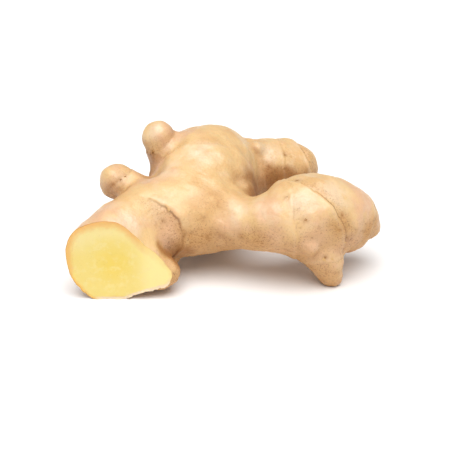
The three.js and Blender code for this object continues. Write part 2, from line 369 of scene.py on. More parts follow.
# %% Gradient noise
LATTICE = 64
SLOPES = np.random.default_rng(7).normal(size=(LATTICE, LATTICE, LATTICE, 3))
SLOPES /= np.linalg.norm(SLOPES, axis=3, keepdims=True)


def noise(at):
    """Smooth noise between about -1 and 1, one feature for each unit."""
    whole = np.floor(at).astype(int)
    part = at - whole
    ease = part**3 * (part * (part * 6 - 15) + 10)
    total = np.zeros(len(at))
    for corner in np.ndindex(2, 2, 2):
        step = np.array(corner)
        slope = SLOPES[tuple(((whole + step) % LATTICE).T)]
        weight = np.prod(np.where(step, ease, 1 - ease), axis=1)
        total += weight * ((part - step) * slope).sum(1)
    return total * 1.6


def layered(at, layers=3, fade=0.5):
    """Noise at several sizes, each half as wide and weaker than the one before."""
    return sum(noise(at * 2**n + 11.3 * n) * fade**n for n in range(layers))


# %% [markdown]
# ## Growth rings
# A ring is the scar of a scale leaf. The skin swells up to it, ends in a thin edge that
# wavers round the finger, and starts again a little lower. Between the rings lie faint
# ones. The rings run where the solid model's do. Its larger faces need high, blunt rings to
# show them at all, and the fine skin here can have the low, sharp ones of the real root.

# %% Carve the rings
RING_HEIGHT = 0.75
RING_SWELL = 7.0
RING_STEP = 0.8
RING_GROOVE = 0.30
RING_WAVER = 0.5
LIP_HEIGHT = 0.06
FAINT_SPACING = 3.3
FAINT_DEPTH = 0.07


def ring_height(past):
    """Height of the skin near a ring."""
    swell = np.exp(-(np.minimum(past, 0) / RING_SWELL)**2)
    step = 1 - smoothstep(past, 0, RING_STEP)
    groove = np.exp(-((past - RING_STEP) / RING_STEP)**2)
    lip = np.exp(-((past + 0.35) / 0.4)**2)
    return RING_HEIGHT * (swell * step - RING_GROOVE * groove) + LIP_HEIGHT * lip


waver = RING_WAVER * (np.sin(0.31 * points[:, 0] + 0.22 * points[:, 1])
                      + 0.7 * np.sin(0.37 * points[:, 2] + 1.1))
ragged = 0.3 * layered(points / 3.1, 2)
broken = np.clip(0.95 + 0.5 * layered(points / 12 + 3.7, 2), 0.45, 1.15)
ring_relief = np.zeros(len(points))
ring_past = np.full(len(points), 20.0)
ring_weight = np.zeros(len(points))
for middle, onward, reach, strength in RINGS:
    away = points - middle
    past = away @ (np.array(onward) / np.linalg.norm(onward)) + waver + ragged
    weight = strength * broken * (1 - smoothstep(np.linalg.norm(away, axis=1), 0.8 * reach, reach))
    ring_relief += weight * ring_height(past)
    nearer = (weight > 0.02) & (np.abs(past) < np.abs(ring_past))
    ring_past[nearer] = past[nearer]
    ring_weight[nearer] = weight[nearer]
faint = np.cos(2 * np.pi * (along + waver + ragged) / FAINT_SPACING)
faint_relief = -FAINT_DEPTH * clear * np.maximum(faint, 0)**6
faint_relief *= np.clip(0.5 + layered(points / 9, 2), 0, 1)
print(f"rings stand out up to {ring_relief.max():.2f} mm")

# %% [markdown]
# ## Wrinkles
# Skin that has dried a little draws into fine wrinkles along the finger, and more of them
# low down. Between them lie low knobs and a fine pebbling, which break up the highlights.
# Three measures go to the colours as painted shade: how far the skin faces down, whether
# it lies in a narrow crevice, and whether in a wide hollow.
# A crevice or hollow is found by stepping straight out of the skin and looking how much
# nearer than that step the body still is.

# %% Carve the wrinkles
WRINKLE = 0.16
PEBBLE = 0.08
KNOB = 0.22
FOLDS_ROUND = 6.5
FOLD_RUN = np.array([0.045, 0.05, 0.04])
LOBE_OFFSET = 5.3
run = along[:, None] * FOLD_RUN + lead[:, None] * LOBE_OFFSET
fold = layered(outward * FOLDS_ROUND + run, 3, 0.6)
pebble = layered(points / 2.4, 2)
knob = layered(points / 8 + 5.1, 2)

# %% Find the undersides, crevices and hollows
CREVICE_REACH = 6.0
HOLLOW_REACH = 20.0
outside = body_slope(points)


def shelter_within(reach, least, most):
    """1 where other skin stands within reach of a point, 0 where the air is open."""
    gap = body_distance(points + outside * reach) / reach
    return 1 - smoothstep(gap, least, most)


# Painted shade: these measures darken the colour on undersides, in crevices and in hollows.
low_down = smoothstep(-outside[:, 2], -0.55, 0.45)
in_crevice = shelter_within(CREVICE_REACH, 0.1, 0.85)
in_hollow = shelter_within(HOLLOW_REACH, 0.15, 0.95)
sheltered = np.maximum(0.75 * in_crevice, 0.9 * in_hollow)
wrinkle_relief = WRINKLE * clear * (0.45 + 0.8 * low_down) * fold
wrinkle_relief += PEBBLE * (0.6 + 0.8 * low_down) * pebble
wrinkle_relief += KNOB * knob
print(f"wrinkles up to {np.abs(wrinkle_relief).max():.2f} mm")

# %% [markdown]
# ## Raise the relief
# All the heights are added along the skin's own normal. The root then lies on its three
# low points, which give a little where they meet the table, and its footprint is centred
# on the origin as the solid model's is.

# %% Raise the skin
normal = body_slope(points)
normal /= np.linalg.norm(normal, axis=1, keepdims=True)
relief = ring_relief + faint_relief + wrinkle_relief
skin = points + normal * relief[:, None]
kept = skin[(skin - CUT_POINT) @ CUT_NORMAL <= 0]
own_middle = (kept.min(0) + kept.max(0)) / 2
cad_middle = (np.array(cad_box[0]) + np.array(cad_box[1])) / 2 / MM
shift = np.array([cad_middle[0] - own_middle[0], cad_middle[1] - own_middle[1], 0])
skin[:, 2] = np.maximum(skin[:, 2], 0)
own_size = kept.max(0) - kept.min(0)
print("footprint moved by", shift.round(2).tolist(), "mm, own size", own_size.round(1).tolist())

# %% [markdown]
# ## Where scars and flakes sit
# Scars that the eye would miss are placed one by one, each by a point near the skin. More lie
# along the rings, where roots grow. Flakes hang on the rings and point the way the finger grows.
# Round each scar the skin is stained, so the nearness of a scar is measured too.

# %% Choose the places
SCARS_BY_HAND = [
    (29.0, 36.9, 39.1), (21.8, 30.1, 35.9), (28.4, 32.1, 34.1), (27.2, -20.9, 43.6), (34.7, -27.2, 35.4),
    (-33.7, 22.3, 44.9), (-34.8, 20.5, 46.5), (-32.5, 18.8, 46.5), (-31.0, 18.0, 47.8), (-44.5, 2.0, 41.2),
    (-47.6, 1.1, 38.8), (-50.0, 2.0, 36.5), (-42.4, 3.6, 42.0), (-20.3, -29.5, 13.5), (-21.0, -30.5, 9.5),
    (8.0, -22.0, 25.0), (65.6, -9.2, 27.1), (63.5, -11.3, 20.9), (56.0, -14.0, 21.0), (44.0, -25.0, 17.0),
    (20.0, 58.0, 30.0), (-20.0, 52.0, 30.0), (-36.0, 30.0, 24.0), (-10.0, 30.0, 4.0), (30.0, -6.0, 12.0),
]
FLAKES_BY_HAND = [(66.0, -8.0, 22.0), (64.0, -10.5, 19.0), (43.0, -25.0, 16.0), (46.5, -24.0, 16.0)]
RING_SCARS = 26
RING_FLAKES = 14
STAIN_REACH = 1.5
CLEAR_OF_CUT = 1.5
CLEAR_OF_TABLE = 1.0


def search_tree(places):
    """A tree that finds the nearest of many places quickly."""
    tree = KDTree(len(places))
    for n, place in enumerate(places):
        tree.insert(place, n)
    tree.balance()
    return tree


skin_tree = search_tree(skin)
rng = np.random.default_rng(21)


def kept_side(chosen):
    """Only the points that the cut has left, clear of its edge and of the table."""
    chosen = np.array(chosen)
    inside = (skin[chosen] - CUT_POINT) @ CUT_NORMAL < -CLEAR_OF_CUT
    above = skin[chosen][:, 2] > CLEAR_OF_TABLE
    return chosen[inside & above].tolist()


def on_rings(count, low, high):
    """Random skin points with a ring between low and high millimetres behind them."""
    fit = np.flatnonzero((ring_past > low) & (ring_past < high) & (ring_weight > 0.5))
    return kept_side(rng.choice(fit, count, replace=False))


def marked_points(name, chosen, sink):
    """A mesh of bare points on the skin that know which way is out and which way is on."""
    mesh = bpy.data.meshes.new(name)
    at = (skin[chosen] - normal[chosen] * sink + shift) * MM
    mesh.from_pydata([tuple(p) for p in at], [], [])
    for label, rows in (("outward", normal[chosen]), ("forward", direction[chosen])):
        layer = mesh.attributes.new(label, "FLOAT_VECTOR", "POINT")
        layer.data.foreach_set("vector", np.ascontiguousarray(rows, dtype=np.float32).ravel())
    return mesh


def by_hand(table):
    """The skin points nearest to the places of a table."""
    return kept_side([skin_tree.find(place)[1] for place in table])


scar_points = by_hand(SCARS_BY_HAND) + on_rings(RING_SCARS, 0.5, 3.5)
flake_points = by_hand(FLAKES_BY_HAND) + on_rings(RING_FLAKES, -0.6, 0.6)
print(len(scar_points), "scars and", len(flake_points), "flakes")
stain = np.zeros(len(skin))
for n in scar_points:
    away = np.linalg.norm(skin - skin[n], axis=1)
    stain = np.maximum(stain, np.exp(-(away / STAIN_REACH)**2))

# %% [markdown]
# ## Highlight, dirt and shade patches
# No root is evenly coloured. Pale patches are painted highlights where broad highlights
# fall, and brown patches are partly dirt and partly painted shade. On the young nubs and
# beside the side nub the painted shade is eased, and the hollow between the two long fingers
# gets the darkest painted shade. Each patch is a place in millimetres and a reach, and fades out.

# %% Lay out the patches
# Painted highlights: pale patches on the crowns where broad highlights fall.
HIGHLIGHT_PATCHES = [
    (-9.9, 8.9, 50.3, 9), (47.8, -17, 43.3, 9), (33.9, -24, 40.9, 7), (19.2, -24.8, 37.5, 5.5),
    (6.6, -18, 34.9, 6), (21.9, 34.7, 41, 7), (-38.9, -26.4, 34.1, 7), (-30.2, 20.3, 57.7, 5),
    (-23, 2.8, 45.7, 7), (10, 60, 34, 8), (-14, 48, 40, 9), (55, 8, 34, 7),
]
# Patches where the painted shade is eased: the young nubs and a spot beside the side nub.
SHADE_EASED_PATCHES = [(-28.9, 24, 51, 14), (-44, 7, 38, 12), (-34, 14, 44, 9), (-21.6, -20.4, 22.8, 6)]
# Painted shade: the hollow between the two long fingers.
SHADED_HOLLOWS = [(22, 28, 24, 10), (17, 22, 27, 7)]
# Brown patches, partly dirt and partly painted shade, such as the hollow between the long fingers.
DIRT_AND_SHADE_PATCHES = [
    (-3.2, -12.7, 38.2, 8), (-12, -15, 33, 8), (-30, -27, 14, 8), (22, 29, 28, 11), (49.8, -24.3, 31.7, 7),
    (-16, -20, 22, 8), (-8, -18, 24, 8), (15, -20, 26, 9), (-20.5, -29.5, 12, 6), (62, -10, 24, 7),
    (30, 58, 26, 8), (-24, 44, 16, 8), (-30, 10, 22, 8),
]


def patches(table):
    """1 in the middle of the nearest patch, fading to 0 past its reach."""
    total = np.zeros(len(points))
    for x, y, z, reach in table:
        away = np.linalg.norm(points - [x, y, z], axis=1)
        total = np.maximum(total, 1 - smoothstep(away / reach, 0.2, 1.3))
    return total


painted_highlight = patches(HIGHLIGHT_PATCHES)
dirt_and_shade = patches(DIRT_AND_SHADE_PATCHES)
sheltered = np.maximum(sheltered, 0.65 * patches(SHADED_HOLLOWS))
shade_eased = patches(SHADE_EASED_PATCHES)
# The eased patches lighten the painted shade on undersides and in hollows.
low_down *= 1 - 0.7 * shade_eased
sheltered *= 1 - 0.75 * shade_eased
print(f"rubbed {(painted_highlight > 0.5).mean():.0%}, soiled {(dirt_and_shade > 0.5).mean():.0%} of the points")

# %% [markdown]
# ## The cut
# A knife leaves a flat face, so the skin is bisected by a plane. The open edge is one loop.
# The face inside it needs points of its own for the fibres and the drying rim, so an even
# grid of points is laid inside the loop and joined to it by a Delaunay triangulation.

# %% Cut the finger
FACE_STEP = 0.9


def skin_mesh():
    """The raised skin as a bmesh, in millimetres, with its measures on the points."""
    body = bmesh.new()
    layers = {name: body.verts.layers.float.new(name) for name in MEASURES}
    verts = [body.verts.new(p) for p in skin]
    for name, layer in layers.items():
        for vert, value in zip(verts, MEASURES[name]):
            vert[layer] = value
    for face in faces:
        body.faces.new([verts[i] for i in face])
    return body


def ordered_loop(edges):
    """The points of a closed loop of edges, in order."""
    neighbours = {}
    for edge in edges:
        for vert in edge.verts:
            neighbours.setdefault(vert, []).append(edge.other_vert(vert))
    start = next(iter(neighbours))
    loop, before, here = [start], None, start
    while True:
        onward = next(v for v in neighbours[here] if v is not before)
        if onward is start:
            return loop
        loop.append(onward)
        before, here = here, onward


MEASURES = {
    "ring_past": ring_past,
    "ring_weight": ring_weight,
    "fold": fold,
    "low_down": low_down,
    "sheltered": sheltered,
    "stain": stain,
    "painted_highlight": painted_highlight,
    "dirt_and_shade": dirt_and_shade,
    "rim_gap": np.zeros(len(points)),
    "draw_x": np.zeros(len(points)),
    "draw_y": np.zeros(len(points)),
}
body = skin_mesh()
everything = body.verts[:] + body.edges[:] + body.faces[:]
bmesh.ops.bisect_plane(body, geom=everything, dist=1e-4, plane_co=CUT_POINT,
                       plane_no=CUT_NORMAL, clear_outer=True)
open_edges = [edge for edge in body.edges if edge.is_boundary]
rim = ordered_loop(open_edges)
print("cut edge:", len(rim), "points of", len(open_edges), "open edges")

# %% [markdown]
# ## The cut face
# Flat axes on the plane turn the work into a drawing: `across` and `upward`. The flesh has
# shrunk a little inside the skin, so it dips just inside the edge, and it is faintly
# fibrous. Low down the knife came out, so the edge is torn there and hangs in a ragged lip.
# The measures `rim_gap` (how far in from the skin) and the face's own drawing coordinates
# go with each point for the colours.

# %% Fill the cut face
across = np.cross(-CUT_NORMAL, [0.0, 0.0, 1.0])
across /= np.linalg.norm(across)
upward = np.cross(-CUT_NORMAL, across)
if upward[2] < 0:
    upward = -upward


def drawn(points):
    """Points on the cut plane in its own drawing coordinates."""
    away = np.asarray(points) - CUT_POINT
    return np.stack([away @ across, away @ upward], axis=1)


edge_drawing = drawn([v.co[:] for v in rim])
if np.cross(edge_drawing, np.roll(edge_drawing, -1, axis=0)).sum() < 0:
    rim.reverse()
    edge_drawing = edge_drawing[::-1]
low, high = edge_drawing.min(0), edge_drawing.max(0)
rows = np.arange(low[1], high[1], FACE_STEP * math.sqrt(3) / 2)
columns = np.arange(low[0], high[0], FACE_STEP)
grid = [(x + (n % 2) * FACE_STEP / 2, y) for n, y in enumerate(rows) for x in columns]
edge_tree = search_tree([(x, y, 0) for x, y in edge_drawing])
inner = [p for p in grid if edge_tree.find((p[0], p[1], 0))[2] > FACE_STEP * 0.7]
loop_edges = [(n, (n + 1) % len(rim)) for n in range(len(rim))]
flat_points = [Vector(p) for p in edge_drawing.tolist() + inner]
result = geometry.delaunay_2d_cdt(flat_points, loop_edges, [], 1, 1e-6)
face_points = np.array([p[:] for p in result[0]])
origin_of = [n[0] if n else -1 for n in result[3]]
print("cut face:", len(face_points), "points,", len(result[2]), "faces")

# %% Raise the cut face and join it to the skin
DIP = 0.16
FIBRE_HEIGHT = 0.05
SWELL_HEIGHT = 0.12
TORN = 0.8
RAGGED = 0.9


def face_noise(size, level, layers):
    """Noise over the cut face, with features of a size in millimetres."""
    levels = np.full(len(face_points), float(level))
    return layered(np.column_stack([face_points / size, levels]), layers)


rim_gap = np.array([edge_tree.find((x, y, 0))[2] for x, y in face_points])
face_height = FIBRE_HEIGHT * face_noise(1.7, 0, 3) + SWELL_HEIGHT * face_noise(9, 1, 2)
face_height -= DIP * np.exp(-((rim_gap - 1.2) / 0.8)**2)
face_height *= smoothstep(rim_gap, 0.0, 0.7)
low_edge = smoothstep(-face_points[:, 1], 4, 13)
right_side = smoothstep(face_points[:, 0], 3, 8)
torn = TORN * low_edge * np.clip(0.6 + face_noise(2.2, 4, 2), 0, 1)
ragged_edge = RAGGED * right_side * low_edge * np.clip(0.2 + face_noise(1.9, 8, 2), 0, 1)
gap_layer, draw_x, draw_y = (body.verts.layers.float[name] for name in ("rim_gap", "draw_x", "draw_y"))
made = []
for n, (x, y) in enumerate(face_points):
    source = origin_of[n]
    if 0 <= source < len(rim):
        vert = rim[source]
        vert.co += Vector(CUT_NORMAL * torn[n] - upward * ragged_edge[n])
        vert.co.z = max(vert.co.z, 0)
    else:
        vert = body.verts.new(CUT_POINT + across * x + upward * y + CUT_NORMAL * face_height[n])
        vert[gap_layer] = rim_gap[n]
    vert[draw_x] = x
    vert[draw_y] = y
    made.append(vert)
for corners in result[2]:
    flesh_face = body.faces.new([made[i] for i in corners])
    flesh_face.material_index = 1
bmesh.ops.recalc_face_normals(body, faces=body.faces[:])
still_open = sum(edge.is_boundary for edge in body.edges)
print("open edges left:", still_open)

# %% The finished body
for vert in body.verts:
    vert.co = (vert.co + Vector(shift)) * MM
for face in body.faces:
    face.smooth = True
for edge in body.edges:
    kinds = {face.material_index for face in edge.link_faces}
    edge.smooth = len(kinds) == 1
bmesh.ops.triangulate(body, faces=body.faces[:])
root_mesh = bpy.data.meshes.new("ginger_root")
body.to_mesh(root_mesh)
body.free()
ginger_root = bpy.data.objects.new("ginger_root", root_mesh)
bpy.context.scene.collection.objects.link(ginger_root)
print("ginger_root:", len(root_mesh.vertices), "points,", len(root_mesh.polygons), "triangles")

# %% [markdown]
# ## Shader helpers
# Node trees are clearer when each node is made and wired in one call. Most of the finish is
# masks, numbers from 0 to 1 that change over the surface: `measure` reads one from the mesh,
# `spots` makes one from noise, `step_between` sharpens one, and `glaze` lays a colour by it.

# %% Node helpers


def add_node(tree, kind, values=None, **settings):
    """A new node with its settings and unconnected inputs filled in."""
    node = tree.nodes.new(kind)
    for name, value in settings.items():
        setattr(node, name, value)
    for name, value in (values or {}).items():
        if isinstance(value, bpy.types.NodeSocket):
            tree.links.new(value, node.inputs[name])
        else:
            node.inputs[name].default_value = value
    return node


def maths(tree, operation, first, second=0.0, clamp=False):
    """One sum, with sockets or plain numbers."""
    node = add_node(tree, "ShaderNodeMath", {0: first, 1: second}, operation=operation, use_clamp=clamp)
    return node.outputs[0]


def times(tree, first, second, clamp=False):
    """One number times another."""
    return maths(tree, "MULTIPLY", first, second, clamp)


def plus(tree, first, second, clamp=False):
    """One number and another."""
    return maths(tree, "ADD", first, second, clamp)


def colour_mix(tree, factor, first, second):
    """Two colours mixed by a factor."""
    node = tree.nodes.new("ShaderNodeMix")
    node.data_type = "RGBA"
    for socket, value in ((node.inputs[0], factor), (node.inputs[6], first), (node.inputs[7], second)):
        if isinstance(value, bpy.types.NodeSocket):
            tree.links.new(value, socket)
        elif isinstance(value, (tuple, list)):
            socket.default_value = (*value, 1.0)
        else:
            socket.default_value = value
    return node.outputs[2]


def glaze(tree, tone, colour, mask, amount=1.0):
    """A colour laid over a tone, as strongly as the mask times an amount."""
    return colour_mix(tree, times(tree, mask, amount), tone, colour)


def step_between(tree, value, low, high):
    """0 below low, 1 above high, smooth between. low may be the larger."""
    node = tree.nodes.new("ShaderNodeMapRange")
    node.interpolation_type = "SMOOTHSTEP"
    tree.links.new(value, node.inputs["Value"])
    node.inputs["From Min"].default_value = low
    node.inputs["From Max"].default_value = high
    return node.outputs["Result"]


def measure(tree, name):
    """A number kept on the mesh's points."""
    return add_node(tree, "ShaderNodeAttribute", attribute_name=name).outputs["Fac"]


def spots(tree, at, scale, detail, rough):
    """Cloudy noise, with `scale` features to the metre."""
    node = add_node(tree, "ShaderNodeTexNoise",
                    {"Vector": at, "Scale": scale, "Detail": detail, "Roughness": rough})
    return node.outputs["Fac"]


def srgb(red, green, blue):
    """A colour given as it looks on a screen, 0 to 255, as light."""
    looks = [level / 255 for level in (red, green, blue)]
    return tuple(c / 12.92 if c < 0.04045 else ((c + 0.055) / 1.055)**2.4 for c in looks)


def new_group(name, inputs, outputs):
    """A shader node group with named float inputs and outputs."""
    group = bpy.data.node_groups.new(name, "ShaderNodeTree")
    for label, kind, value in inputs:
        socket = group.interface.new_socket(label, in_out="INPUT", socket_type=kind)
        socket.default_value = value
    for label, kind in outputs:
        group.interface.new_socket(label, in_out="OUTPUT", socket_type=kind)
    start = group.nodes.new("NodeGroupInput")
    end = group.nodes.new("NodeGroupOutput")
    return group, start, end


# %% [markdown]
# ## Grain, shared by every finish
# Skin, flesh and dry scars all show the same plant tissue at different sizes: soft blotches
# of tone and a fine cellular grain. One node group makes both, and each material sets its
# own sizes. It gives back a blotch mask, a speck mask and a height for the bump.

# %% Tissue grain group
grain_group, grain_in, grain_out = new_group(
    "Tissue grain",
    [("Blotch scale", "NodeSocketFloat", 60.0), ("Grain scale", "NodeSocketFloat", 900.0),
     ("Speck amount", "NodeSocketFloat", 0.3)],
    [("Blotch", "NodeSocketFloat"), ("Speck", "NodeSocketFloat"), ("Height", "NodeSocketFloat")],
)
here = add_node(grain_group, "ShaderNodeTexCoord").outputs["Object"]
blotch = spots(grain_group, here, grain_in.outputs["Blotch scale"], 4.0, 0.55)
cells = add_node(grain_group, "ShaderNodeTexVoronoi",
                 {"Vector": here, "Scale": grain_in.outputs["Grain scale"]}, feature="SMOOTH_F1")
fine_grain = spots(grain_group, here, grain_in.outputs["Grain scale"], 4.0, 0.7)
lowered = times(grain_group, grain_in.outputs["Speck amount"], 0.2)
threshold = maths(grain_group, "SUBTRACT", 0.72, lowered)
speck = maths(grain_group, "SUBTRACT", fine_grain, threshold, clamp=True)
speck = times(grain_group, speck, 6.0, clamp=True)
height = times(grain_group, cells.outputs["Distance"], 0.5)
height = plus(grain_group, height, times(grain_group, fine_grain, 0.6))
grain_group.links.new(blotch, grain_out.inputs["Blotch"])
grain_group.links.new(speck, grain_out.inputs["Speck"])
grain_group.links.new(height, grain_out.inputs["Height"])
print("tissue grain group:", len(grain_group.nodes), "nodes")

# %% [markdown]
# ## Skin
# Fresh ginger skin is straw to pinkish tan, browner along the rings and in the scars, and
# it has a soft gloss. Painted light is laid into its colour too: pale painted highlights on
# the crown of each swelling, and painted shade low down, in crevices and hollows and just
# below each ring step. The measures kept on the mesh say where rings, scars, folds,
# undersides, crevices and patches are, so the colours follow the relief. Thin tones are laid
# over one another, as a painter glazes.

# %% Skin tones
SKIN_STRAW = srgb(227, 190, 134)
SKIN_GOLD = srgb(221, 179, 122)
SKIN_PINK = srgb(225, 181, 141)
SKIN_CREAM = srgb(233, 208, 175)
SKIN_TAN = srgb(197, 147, 87)
SKIN_BROWN = srgb(158, 103, 42)
SKIN_DARK = srgb(98, 64, 36)
SKIN_LINE = srgb(128, 78, 34)
SKIN_SPECK = srgb(138, 78, 26)


def new_material(name):
    """A material with an empty Principled surface."""
    material = bpy.data.materials.new(name)
    material.use_nodes = True
    tree = material.node_tree
    tree.nodes.clear()
    surface = tree.nodes.new("ShaderNodeBsdfPrincipled")
    output = tree.nodes.new("ShaderNodeOutputMaterial")
    tree.links.new(surface.outputs[0], output.inputs["Surface"])
    return material, tree, surface


def tissue(tree, blotch_scale, grain_scale, speck_amount):
    """The shared grain group with this material's own sizes."""
    node = tree.nodes.new("ShaderNodeGroup")
    node.node_tree = grain_group
    node.inputs["Blotch scale"].default_value = blotch_scale
    node.inputs["Grain scale"].default_value = grain_scale
    node.inputs["Speck amount"].default_value = speck_amount
    return node


def bump(tree, height, strength, distance, below=None):
    """A bump, on top of another where one is given."""
    node = add_node(tree, "ShaderNodeBump", {"Height": height, "Strength": strength, "Distance": distance})
    if below is not None:
        tree.links.new(below, node.inputs["Normal"])
    return node.outputs["Normal"]


# %% Where each tone lies
MESH_MASKS = ["low_down", "sheltered", "fold", "ring_past", "ring_weight", "painted_highlight", "dirt_and_shade", "stain"]


def skin_masks(tree):
    """The masks by which the skin's tones are laid, by name."""
    at = add_node(tree, "ShaderNodeTexCoord").outputs["Object"]
    mask = {name: measure(tree, name) for name in MESH_MASKS}
    grain = tissue(tree, 75.0, 1250.0, 0.8)
    for name in ("Blotch", "Speck", "Height"):
        mask[name.lower()] = grain.outputs[name]
    mask["wide"] = spots(tree, at, 30.0, 2.0, 0.5)
    mask["cloud"] = spots(tree, at, 140.0, 3.0, 0.55)
    mask["mottle"] = spots(tree, at, 420.0, 4.0, 0.65)
    mask["dots"] = spots(tree, at, 1500.0, 2.0, 0.6)
    mask["in_shade"] = maths(tree, "MAXIMUM", mask["low_down"], mask["sheltered"])
    from_ring = step_between(tree, mask["ring_past"], 0.2, 0.9)
    not_far = step_between(tree, mask["ring_past"], 9.0, 1.0)
    mask["behind_ring"] = times(tree, times(tree, from_ring, not_far), mask["ring_weight"])
    dusty = plus(tree, mask["in_shade"], mask["behind_ring"])
    dusty = plus(tree, dusty, times(tree, mask["dirt_and_shade"], 0.5))
    mask["dusty"] = plus(tree, times(tree, dusty, 0.75), 0.12, clamp=True)
    return mask


# %% Ground tones and painted highlights


def ground_and_highlight_tone(tree, mask):
    """Straw, gold and pink in soft patches, with cream painted highlights on upward-facing skin and in the
    highlight patches.
    """
    tone = colour_mix(tree, step_between(tree, mask["wide"], 0.38, 0.62), SKIN_GOLD, SKIN_PINK)
    tone = glaze(tree, tone, SKIN_STRAW, step_between(tree, mask["blotch"], 0.40, 0.60))
    upper = maths(tree, "SUBTRACT", 1.0, mask["low_down"])
    # Painted highlight: cream on skin that faces up, in soft patches.
    pale = times(tree, step_between(tree, mask["cloud"], 0.48, 0.68), upper)
    tone = glaze(tree, tone, SKIN_CREAM, pale, 0.3)
    # Painted highlights in the highlight patches.
    highlighted = times(tree, mask["painted_highlight"], step_between(tree, mask["cloud"], 0.30, 0.55))
    return glaze(tree, tone, SKIN_CREAM, highlighted, 0.7)


# %% Painted shade and dirt


def shade_and_dirt_tone(tree, mask, tone):
    """Painted shade in tan and brown on undersides, in crevices and hollows and below each ring step, and
    tan in the dirt and shade patches.
    """
    dirt_and_shade_spots = times(tree, mask["dirt_and_shade"], step_between(tree, mask["cloud"], 0.25, 0.60))
    tone = glaze(tree, tone, SKIN_TAN, dirt_and_shade_spots, 0.75)
    # Painted shade: tan on undersides and in crevices and hollows.
    uneven = plus(tree, mask["blotch"], 0.35)
    tone = glaze(tree, tone, SKIN_TAN, times(tree, mask["in_shade"], uneven, clamp=True))
    # Painted shade: brown in the darkest crevices and hollows.
    patchy = plus(tree, mask["mottle"], times(tree, mask["sheltered"], 0.45))
    deep_shade = times(tree, mask["sheltered"], step_between(tree, patchy, 0.40, 0.85))
    tone = glaze(tree, tone, SKIN_BROWN, deep_shade)
    # Painted shadow just below each ring step, with some browner skin there.
    return glaze(tree, tone, SKIN_BROWN, times(tree, mask["behind_ring"], mask["mottle"]), 0.4)


# %% Specks, stains and painted shade in the wrinkle grooves


def marked_tone(tree, mask, tone):
    """Flecks and specks where it is dusty, stains round the scars, and painted shade in the wrinkle
    grooves.
    """
    flecks = times(tree, step_between(tree, mask["mottle"], 0.46, 0.30), mask["dusty"])
    tone = glaze(tree, tone, SKIN_BROWN, flecks, 0.45)
    tone = glaze(tree, tone, SKIN_SPECK, times(tree, mask["speck"], mask["dusty"]))
    stained = times(tree, mask["stain"], step_between(tree, mask["mottle"], 0.30, 0.60))
    tone = glaze(tree, tone, SKIN_BROWN, stained, 0.6)
    dotted = times(tree, step_between(tree, mask["dots"], 0.58, 0.68), mask["dusty"])
    tone = glaze(tree, tone, SKIN_SPECK, dotted, 0.7)
    # Painted shade in the grooves of the wrinkles.
    shaded_creases = times(tree, step_between(tree, mask["fold"], -0.30, -1.0), mask["dusty"])
    return glaze(tree, tone, SKIN_BROWN, shaded_creases, 0.5)


# %% Ring lines
LINE_AT = 0.55
LIP_AT = -0.7


def ring_tone(tree, mask, tone):
    """A thin broken brown line just past each ring, and a paler lip before it."""
    off_line = maths(tree, "ABSOLUTE", maths(tree, "SUBTRACT", mask["ring_past"], LINE_AT))
    sharp = step_between(tree, mask["ring_weight"], 0.30, 0.75)
    line = times(tree, step_between(tree, off_line, 0.42, 0.08), sharp)
    line = times(tree, line, step_between(tree, mask["wide"], 0.30, 0.55))
    tone = glaze(tree, tone, SKIN_LINE, line, 0.7)
    off_lip = maths(tree, "ABSOLUTE", maths(tree, "SUBTRACT", mask["ring_past"], LIP_AT))
    lip = times(tree, step_between(tree, off_lip, 0.8, 0.1), mask["ring_weight"])
    return glaze(tree, tone, SKIN_CREAM, lip, 0.2)


# %% Skin material


def skin_material():
    """Thin straw-coloured skin with painted highlights and shade, glossier on open skin and duller where it
    is dusty, in the dirt and shade patches and in the hollows.
    """
    material, tree, surface = new_material("ginger_skin")
    mask = skin_masks(tree)
    tone = ground_and_highlight_tone(tree, mask)
    for lay_tone in (shade_and_dirt_tone, marked_tone, ring_tone):
        tone = lay_tone(tree, mask, tone)
    tree.links.new(tone, surface.inputs["Base Color"])
    rough = plus(tree, times(tree, mask["blotch"], 0.22), 0.22)
    rough = plus(tree, rough, times(tree, mask["dusty"], 0.20))
    dull = maths(tree, "MAXIMUM", mask["dirt_and_shade"], mask["sheltered"])
    rough = plus(tree, rough, times(tree, dull, 0.25), clamp=True)
    tree.links.new(rough, surface.inputs["Roughness"])
    surface.inputs["Subsurface Weight"].default_value = 0.12
    surface.inputs["Subsurface Radius"].default_value = (1.0, 0.5, 0.25)
    surface.inputs["Subsurface Scale"].default_value = 0.002
    surface.inputs["Specular IOR Level"].default_value = 0.8
    coarse = bump(tree, mask["mottle"], 0.6, 0.0005)
    tree.links.new(bump(tree, mask["height"], 0.35, 0.00018, coarse), surface.inputs["Normal"])
    print("ginger_skin:", len(tree.nodes), "nodes")
    return material


# %% [markdown]
# ## Flesh
# The cut face is wet and pale yellow, deeper in the middle, where the core lies, and
# golden in the band just inside the skin, where light comes through from behind. The tail
# on the right is the root of a side nub and is paler. Fine fibre ends show as dots, and
# the torn lip low on the right is the colour of skin seen from inside.

# %% Flesh tones
FLESH_PALE = srgb(236, 218, 150)
FLESH_YELLOW = srgb(233, 210, 122)
FLESH_CORE = srgb(233, 205, 96)
FLESH_CREAM = srgb(242, 225, 152)
FLESH_GOLD = srgb(228, 168, 88)
FLESH_EDGE = srgb(190, 126, 57)
CORE_AT = (2.6, -2.2)
TAIL_FROM = 10.0
TAIL_FADE = 10.0


